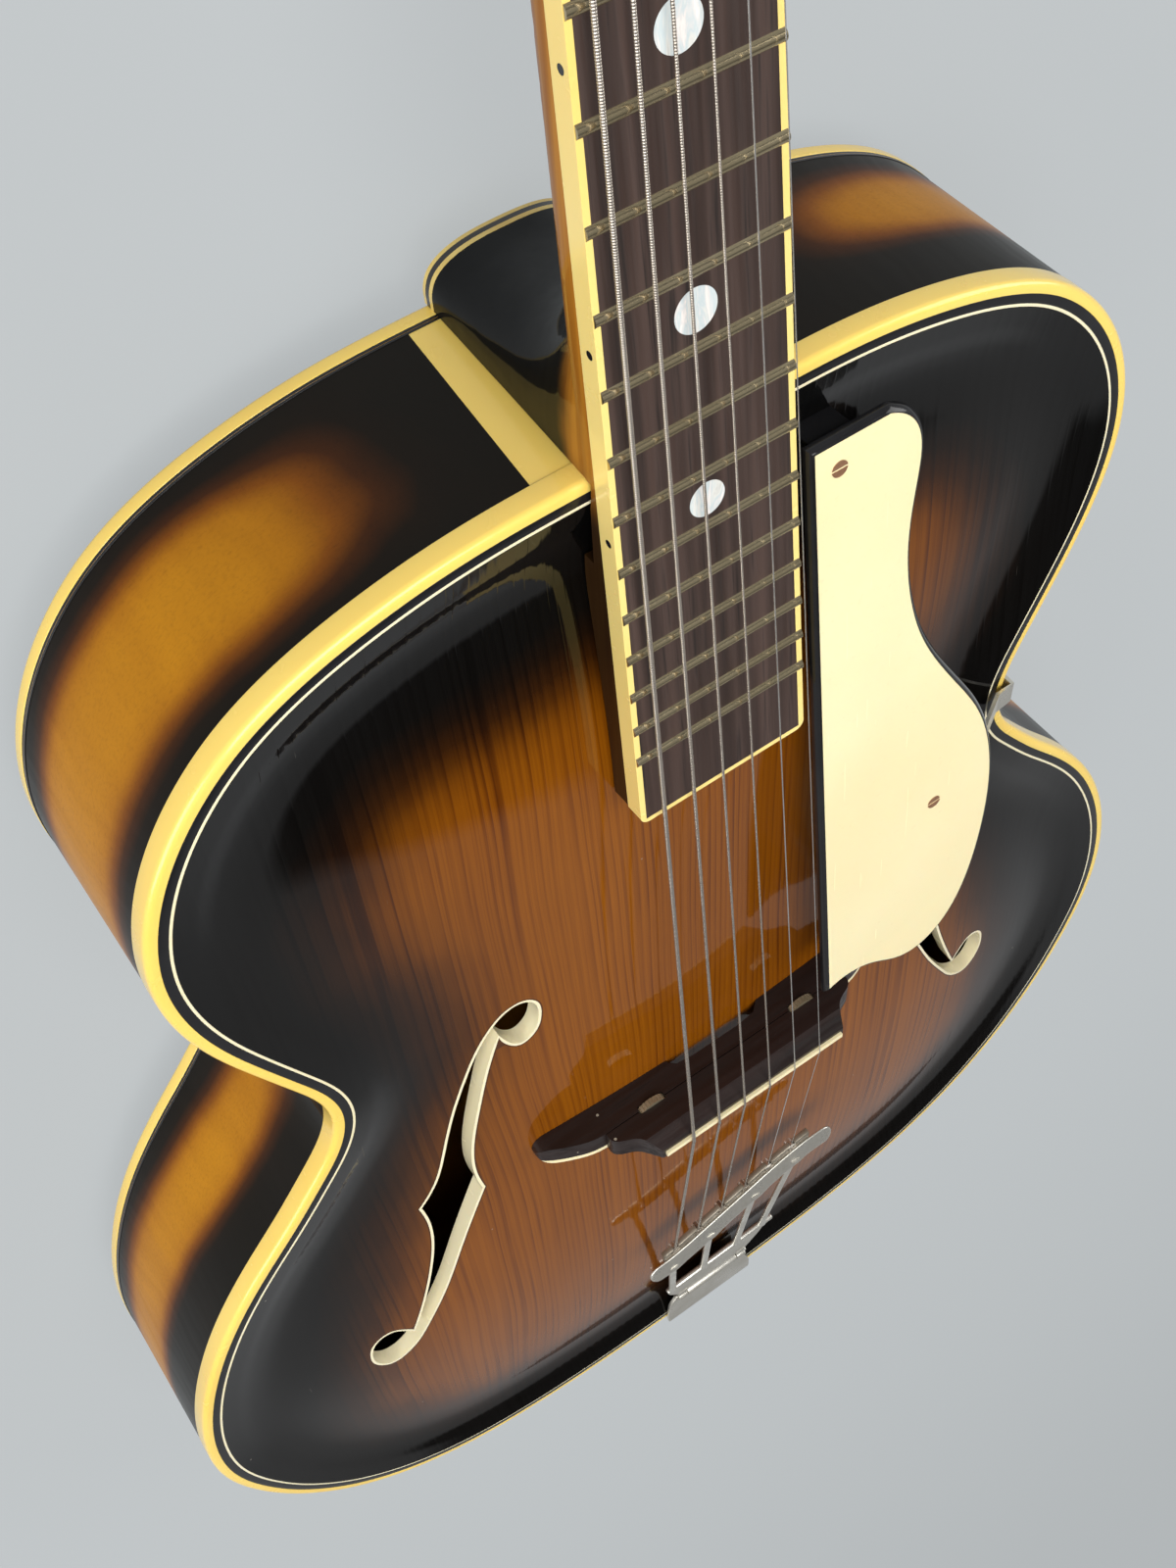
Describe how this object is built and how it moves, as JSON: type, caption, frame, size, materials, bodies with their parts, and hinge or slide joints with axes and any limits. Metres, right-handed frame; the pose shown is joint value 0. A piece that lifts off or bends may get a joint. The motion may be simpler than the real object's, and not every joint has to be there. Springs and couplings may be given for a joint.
{
  "type": "archtop guitar",
  "caption": "Acoustic archtop guitar with f-holes, floating height-adjustable bridge, trapeze tailpiece, raised pickguard and geared tuners, lying on its back.",
  "frame": {"origin": "on the surface the guitar lies on, under the middle of its bounding box", "axes": "+Y along the neck towards the head, +Z out of the soundboard, +X to the treble side"},
  "size_m": [0.4362, 1.0808, 0.1232],
  "materials": {
    "top_lacquer": "sunburst gloss lacquer over spruce",
    "back_lacquer": "sunburst gloss lacquer over maple",
    "side_lacquer": "sunburst gloss lacquer over maple",
    "neck_lacquer": "gloss lacquer, shaded to black at the heel",
    "bare_wood": "bare, sanded",
    "cream_edge": "aged, semi-gloss",
    "guard_cream": "aged, gloss",
    "black_line": "gloss",
    "rosewood": "oiled, open grain",
    "ebonised_wood": "dark, satin",
    "bone": "satin",
    "pearl": "polished, pearly",
    "fret_metal": "worn, slightly yellowed",
    "nickel": "aged polished plating",
    "brass": "aged, satin",
    "bronze": "tarnished",
    "string_steel": "bright wire",
    "tuner_key": "plated shaft, plastic grip"
  },
  "bodies": {
    "body": {"soundboard": "top_lacquer", "back_plate": "back_lacquer", "rib_bass": "side_lacquer", "rib_treble": "side_lacquer", "neck_block": "bare_wood", "tail_block": "bare_wood", "linings": "bare_wood", "tone_bars": "bare_wood", "front_binding": "cream_edge", "front_purfling_black": "black_line", "front_purfling_cream": "cream_edge", "back_binding": "cream_edge", "back_purfling": "black_line", "shoulder_strips": "cream_edge", "fhole_linings": "cream_edge", "pickguard_core": "black_line", "pickguard_face": "guard_cream", "pickguard_screws": "bronze", "pickguard_bracket": "nickel", "pickguard_block": "ebonised_wood", "neck": "neck_lacquer", "heel_cap": "cream_edge", "fingerboard": "rosewood", "fingerboard_binding": "cream_edge", "frets": "fret_metal", "position_dots": "pearl", "side_dots": "black_line", "nut": "bone", "head_veneer": "ebonised_wood", "bridge_base": "ebonised_wood", "bridge_trim": "cream_edge", "bridge_studs": "brass", "tailpiece_frame": "nickel", "tailpiece_hanger": "nickel", "tailpiece_pin": "nickel", "end_pin": "ebonised_wood", "string_heads": "string_steel", "tuner_plate_bass": "nickel", "tuner_plate_treble": "nickel", "tuner_bushings": "nickel", "wood_screws": "nickel"},
    "saddle": {"bridge_saddle": "ebonised_wood", "saddle_insert": "bone"},
    "wheel_bass": {"height_wheel_bass": "brass"},
    "wheel_treble": {"height_wheel_treble": "brass"},
    "strings": {"strings": "string_steel"},
    "string_tails": {"string_tails": "string_steel"},
    "key_1": {"tuner_key_1": "tuner_key"},
    "post_1": {"tuner_post_1": "nickel"},
    "key_2": {"tuner_key_2": "tuner_key"},
    "post_2": {"tuner_post_2": "nickel"},
    "key_3": {"tuner_key_3": "tuner_key"},
    "post_3": {"tuner_post_3": "nickel"},
    "key_4": {"tuner_key_4": "tuner_key"},
    "post_4": {"tuner_post_4": "nickel"},
    "key_5": {"tuner_key_5": "tuner_key"},
    "post_5": {"tuner_post_5": "nickel"},
    "key_6": {"tuner_key_6": "tuner_key"},
    "post_6": {"tuner_post_6": "nickel"}
  },
  "joints": [
    {"name": "key_1_turn", "type": "hinge", "parent": "body", "child": "key_1", "pos_m": [0.02, 0.41091, 0.04421], "axis": [1, 0, 0], "continuous": true},
    {"name": "key_2_turn", "type": "hinge", "parent": "body", "child": "key_2", "pos_m": [0.02, 0.44974, 0.03459], "axis": [1, 0, 0], "continuous": true},
    {"name": "key_3_turn", "type": "hinge", "parent": "body", "child": "key_3", "pos_m": [0.02, 0.48856, 0.02497], "axis": [1, 0, 0], "continuous": true},
    {"name": "key_4_turn", "type": "hinge", "parent": "body", "child": "key_4", "pos_m": [-0.02, 0.48856, 0.02497], "axis": [1, 0, 0], "continuous": true},
    {"name": "key_5_turn", "type": "hinge", "parent": "body", "child": "key_5", "pos_m": [-0.02, 0.44974, 0.03459], "axis": [1, 0, 0], "continuous": true},
    {"name": "key_6_turn", "type": "hinge", "parent": "body", "child": "key_6", "pos_m": [-0.02, 0.41091, 0.04421], "axis": [1, 0, 0], "continuous": true},
    {"name": "post_1_turn", "type": "hinge", "parent": "body", "child": "post_1", "pos_m": [0.02, 0.42453, 0.06052], "axis": [0, 0.2405, 0.9706], "continuous": true},
    {"name": "post_2_turn", "type": "hinge", "parent": "body", "child": "post_2", "pos_m": [0.02, 0.46336, 0.0509], "axis": [0, 0.2405, 0.9706], "continuous": true},
    {"name": "post_3_turn", "type": "hinge", "parent": "body", "child": "post_3", "pos_m": [0.02, 0.50218, 0.04128], "axis": [0, 0.2405, 0.9706], "continuous": true},
    {"name": "post_4_turn", "type": "hinge", "parent": "body", "child": "post_4", "pos_m": [-0.02, 0.50218, 0.04128], "axis": [0, 0.2405, 0.9706], "continuous": true},
    {"name": "post_5_turn", "type": "hinge", "parent": "body", "child": "post_5", "pos_m": [-0.02, 0.46336, 0.0509], "axis": [0, 0.2405, 0.9706], "continuous": true},
    {"name": "post_6_turn", "type": "hinge", "parent": "body", "child": "post_6", "pos_m": [-0.02, 0.42453, 0.06052], "axis": [0, 0.2405, 0.9706], "continuous": true},
    {"name": "saddle_lift", "type": "slide", "parent": "body", "child": "saddle", "axis": [0, 0, 1], "range_m": [0, 0.003]},
    {"name": "wheel_bass_turn", "type": "hinge", "parent": "saddle", "child": "wheel_bass", "pos_m": [-0.0296, -0.25235, 0.1048], "axis": [0, 0, 1], "range_deg": [0, 1544.9]},
    {"name": "wheel_treble_turn", "type": "hinge", "parent": "saddle", "child": "wheel_treble", "pos_m": [0.0364, -0.25235, 0.1048], "axis": [0, 0, 1], "range_deg": [0, 1544.9]},
    {"name": "strings_rise", "type": "hinge", "parent": "body", "child": "strings", "pos_m": [0, 0.38903, 0.07654], "axis": [-1, 0, 0], "range_deg": [0, 0.288]},
    {"name": "string_tails_rise", "type": "hinge", "parent": "body", "child": "string_tails", "pos_m": [0, -0.37585, 0.10725], "axis": [1, 0, 0], "range_deg": [0, 1.41]}
  ],
  "couplings": [
    {"joint": "post_1_turn", "follows": "key_1_turn", "ratio": -0.071429},
    {"joint": "post_2_turn", "follows": "key_2_turn", "ratio": -0.071429},
    {"joint": "post_3_turn", "follows": "key_3_turn", "ratio": -0.071429},
    {"joint": "post_4_turn", "follows": "key_4_turn", "ratio": -0.071429},
    {"joint": "post_5_turn", "follows": "key_5_turn", "ratio": -0.071429},
    {"joint": "post_6_turn", "follows": "key_6_turn", "ratio": -0.071429},
    {"joint": "wheel_bass_turn", "follows": "saddle_lift", "rad_per_m": 8976},
    {"joint": "wheel_treble_turn", "follows": "saddle_lift", "rad_per_m": 8976},
    {"joint": "strings_rise", "follows": "saddle_lift", "rad_per_m": 1.5591},
    {"joint": "string_tails_rise", "follows": "saddle_lift", "rad_per_m": 8.0972}
  ]
}
